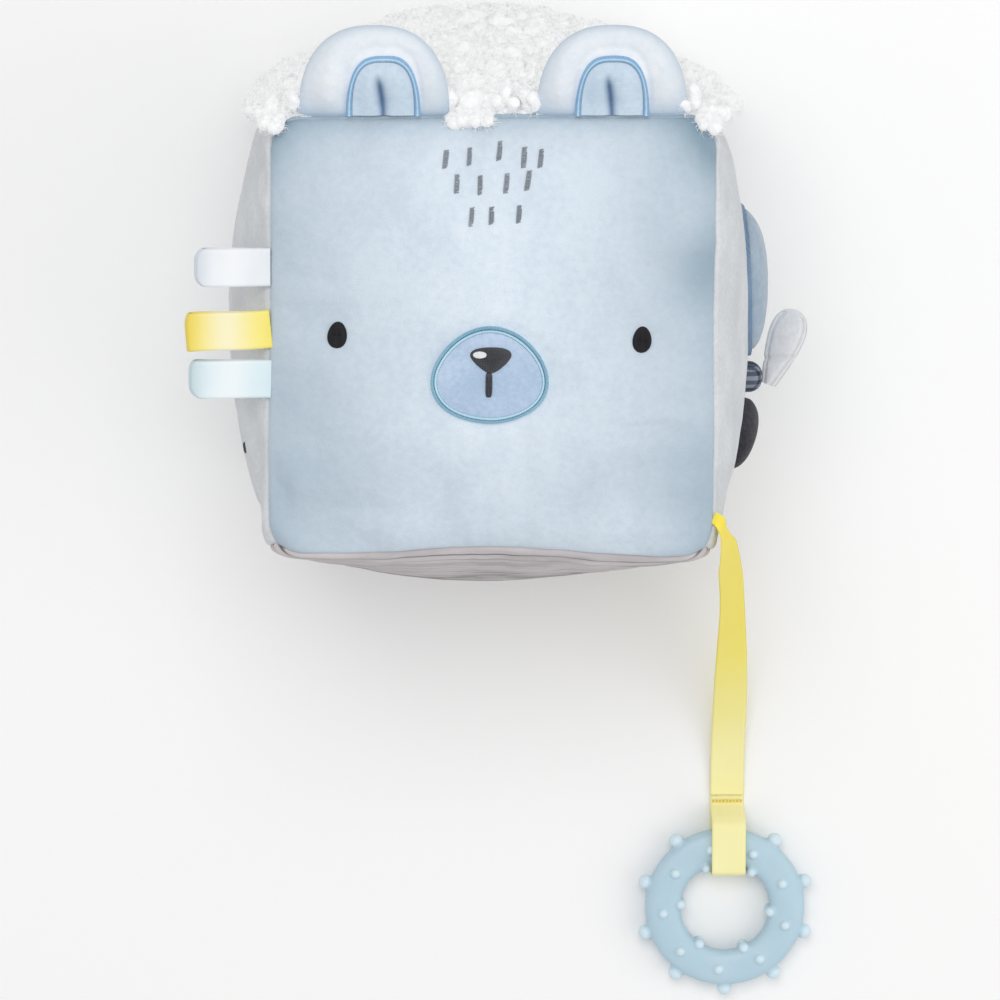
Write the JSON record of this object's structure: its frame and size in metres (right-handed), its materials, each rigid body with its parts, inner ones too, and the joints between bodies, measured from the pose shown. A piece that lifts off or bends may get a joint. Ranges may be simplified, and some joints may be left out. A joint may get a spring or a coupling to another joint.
{
  "type": "soft fabric block",
  "caption": "Stuffed fabric baby cube with a bear's face and ears, plush top panel, looped ribbon tabs and a bumpy teething ring on a ribbon strap.",
  "frame": {"origin": "centre of the flat part of the back panel, on the surface that the block lies on", "axes": "+X to the right of the bear's face as seen, +Y from the face's chin to its ears, +Z out of the face, up from the surface"},
  "size_m": [0.2262, 0.3736, 0.17],
  "materials": {
    "velour": "soft velour",
    "pale_velour": "soft velour",
    "plush": "bobbly plush",
    "grey_cotton": "plain weave",
    "ribbed_cotton": "ribbed weave",
    "fibre": "loose fibre",
    "blue_fill": "embroidered cloth",
    "blue_satin": "satin stitch",
    "dark_thread": "satin stitch",
    "black_thread": "satin stitch",
    "white_thread": "satin stitch",
    "white_satin": "satin ribbon",
    "yellow_satin": "satin ribbon",
    "aqua_satin": "satin ribbon",
    "silicone": "matt silicone",
    "blue_cotton": "padded cotton",
    "black_cotton": "padded cotton",
    "checked_cotton": "small check",
    "light_grey_cotton": "plain weave"
  },
  "bodies": {
    "block": {"front_panel": "velour", "back_panel": "grey_cotton", "left_panel": "grey_cotton", "right_panel": "grey_cotton", "bottom_panel": "ribbed_cotton", "top_plush_panel": "plush", "filling_core": "fibre", "muzzle_patch": "blue_fill", "muzzle_stitch": "blue_satin", "eye_left": "black_thread", "eye_right": "black_thread", "nose": "dark_thread", "nose_highlight": "white_thread", "nose_stem": "dark_thread", "side_pad_blue": "blue_cotton", "side_pad_stitch": "blue_satin", "side_pad_dark": "black_cotton", "flap_band": "checked_cotton", "left_dash": "dark_thread", "forehead_stitch_01": "dark_thread", "forehead_stitch_02": "dark_thread", "forehead_stitch_03": "dark_thread", "forehead_stitch_04": "dark_thread", "forehead_stitch_05": "dark_thread", "forehead_stitch_06": "dark_thread", "forehead_stitch_07": "dark_thread", "forehead_stitch_08": "dark_thread", "forehead_stitch_09": "dark_thread", "forehead_stitch_10": "dark_thread", "forehead_stitch_11": "dark_thread", "forehead_stitch_12": "dark_thread"},
    "ear_left": {"ear_left_front": "pale_velour", "ear_left_back": "plush", "ear_left_inner": "blue_fill", "ear_left_stitch": "blue_satin"},
    "ear_right": {"ear_right_front": "pale_velour", "ear_right_back": "plush", "ear_right_inner": "blue_fill", "ear_right_stitch": "blue_satin"},
    "tab_white": {"tab_white": "white_satin"},
    "tab_yellow": {"tab_yellow": "yellow_satin"},
    "tab_aqua": {"tab_aqua": "aqua_satin"},
    "strap": {"strap_ribbon": "yellow_satin"},
    "strap_end": {"strap_loop": "yellow_satin", "strap_stitch": "yellow_satin"},
    "ring": {"teether_ring": "silicone"},
    "leaf": {"leaf_flap": "light_grey_cotton"}
  },
  "joints": [
    {"name": "ear_left_fold", "type": "hinge", "parent": "block", "child": "ear_left", "pos_m": [-0.03952, 0.0738, 0.1544], "axis": [1, 0, 0], "range_deg": [-6, 75], "stiffness_Nm_per_rad": 0.02},
    {"name": "ear_right_fold", "type": "hinge", "parent": "block", "child": "ear_right", "pos_m": [0.03952, 0.0738, 0.1544], "axis": [1, 0, 0], "range_deg": [-6, 75], "stiffness_Nm_per_rad": 0.02},
    {"name": "tab_white_fold", "type": "hinge", "parent": "block", "child": "tab_white", "pos_m": [-0.0753, 0.02301, 0.153], "axis": [0, 1, 0], "range_deg": [-25, 75], "stiffness_Nm_per_rad": 0.002},
    {"name": "tab_yellow_fold", "type": "hinge", "parent": "block", "child": "tab_yellow", "pos_m": [-0.0753, 0.0022, 0.153], "axis": [-0.0872, 0.9962, 0], "range_deg": [-25, 75], "stiffness_Nm_per_rad": 0.002},
    {"name": "tab_aqua_fold", "type": "hinge", "parent": "block", "child": "tab_aqua", "pos_m": [-0.0753, -0.0146, 0.153], "axis": [0.0262, 0.9997, 0], "range_deg": [-25, 75], "stiffness_Nm_per_rad": 0.002},
    {"name": "strap_swing", "type": "hinge", "parent": "block", "child": "strap", "pos_m": [0.0745, -0.0624, 0.1522], "axis": [-1, 0, 0], "range_deg": [0, 75]},
    {"name": "strap_end_fold", "type": "hinge", "parent": "strap", "child": "strap_end", "pos_m": [0.0914, -0.19155, 0.0009], "axis": [-1, 0, 0], "range_deg": [0, 90]},
    {"name": "ring_spin", "type": "hinge", "parent": "strap_end", "child": "ring", "pos_m": [0.0905, -0.233, 0.00645], "axis": [0, 0, 1], "continuous": true},
    {"name": "leaf_wag", "type": "hinge", "parent": "block", "child": "leaf", "pos_m": [0.09828, -0.02539, 0.08551], "axis": [0, 0, 1], "range_deg": [-60, 0], "stiffness_Nm_per_rad": 0.004}
  ]
}
